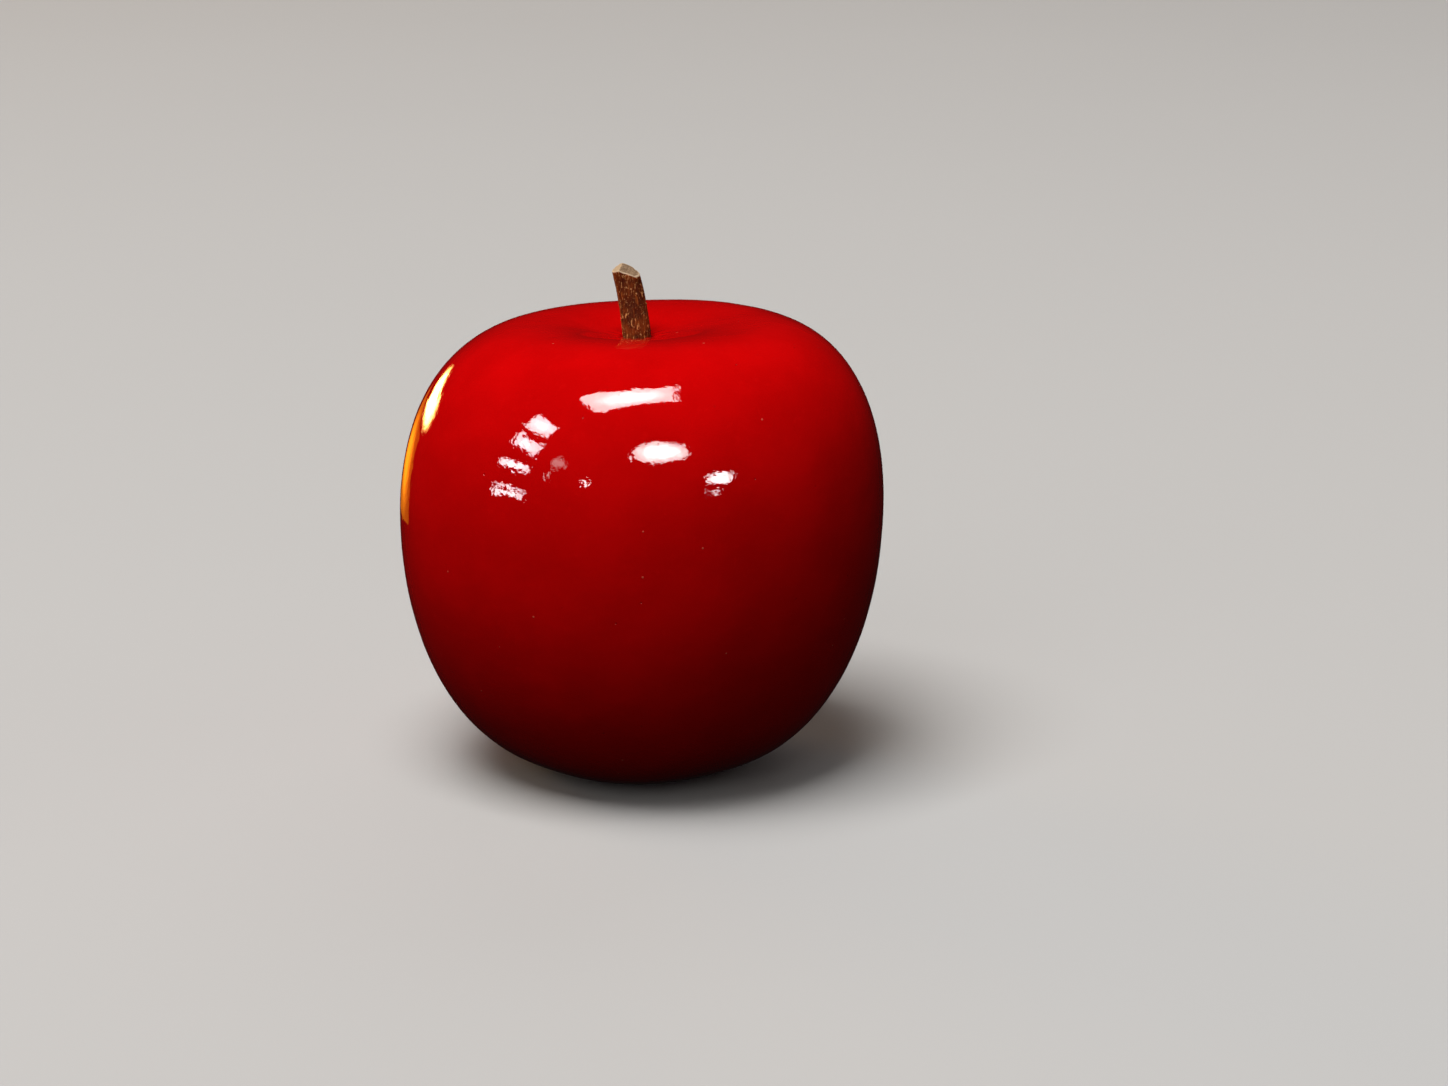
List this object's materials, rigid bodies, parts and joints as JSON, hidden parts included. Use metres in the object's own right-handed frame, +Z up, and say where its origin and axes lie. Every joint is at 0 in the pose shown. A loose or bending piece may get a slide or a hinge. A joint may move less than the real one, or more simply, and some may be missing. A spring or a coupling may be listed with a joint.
{
  "type": "apple",
  "caption": "Whole glossy red apple standing on its base, with a short woody stem cut aslant and a dried flower in the eye underneath.",
  "frame": {"origin": "on the ground under the middle of the apple: the centre of the eye, level with the flat ring that it stands on", "axes": "+Z up through the stem; -Y towards the viewer of the picture; the stem's tip bends towards -X"},
  "size_m": [0.082, 0.082, 0.0861],
  "materials": {
    "skin": "high gloss: waxy red apple skin, smooth as lacquer",
    "bark": "matt brown bark, with a pale cut end",
    "dried_sepal": "matt, dry and brittle, slightly hairy",
    "dried_stamens": "matt, dry and dark"
  },
  "bodies": {
    "root": {"fruit": "skin", "stem": "bark", "sepal_1": "dried_sepal", "sepal_2": "dried_sepal", "sepal_3": "dried_sepal", "sepal_4": "dried_sepal", "sepal_5": "dried_sepal", "stamen_tuft": "dried_stamens"}
  },
  "joints": []
}
